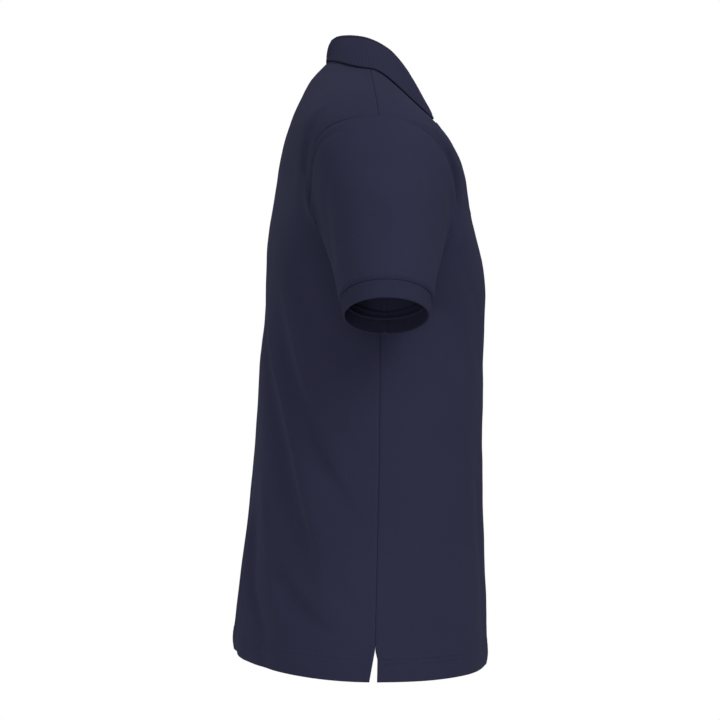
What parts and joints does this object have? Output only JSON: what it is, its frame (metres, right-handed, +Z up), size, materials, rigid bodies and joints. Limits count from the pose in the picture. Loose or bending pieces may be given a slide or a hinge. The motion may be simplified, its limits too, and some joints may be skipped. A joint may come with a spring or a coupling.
{
  "type": "polo shirt, worn shape",
  "caption": "Short-sleeved knit polo shirt in a hollow worn shape, with a folded flat-knit collar, buttoned placket, ribbed cuffs and vented straight hem.",
  "frame": {"origin": "on the centre plane, level with the points where the shoulder seams meet the neck, where a wearer's shoulders and neck hold the shirt", "axes": "+Z up, -Y towards the wearer's front, +X towards the wearer's left"},
  "size_m": [0.6314, 0.3048, 0.7441],
  "materials": {
    "pique_knit": "matte navy cotton knit with a fine waffle surface and a faint soft sheen",
    "flat_knit_rib": "matte navy flat-knit rib",
    "button_resin": "navy resin with a soft gloss"
  },
  "bodies": {
    "root": {"front_panel": "pique_knit", "back_panel": "pique_knit", "collar": "flat_knit_rib", "placket_upper": "pique_knit", "placket_under": "pique_knit", "sleeve_right": "pique_knit", "cuff_right": "flat_knit_rib", "sleeve_left": "pique_knit", "cuff_left": "flat_knit_rib", "button_1": "button_resin", "button_2": "button_resin", "button_3": "button_resin"}
  },
  "joints": []
}
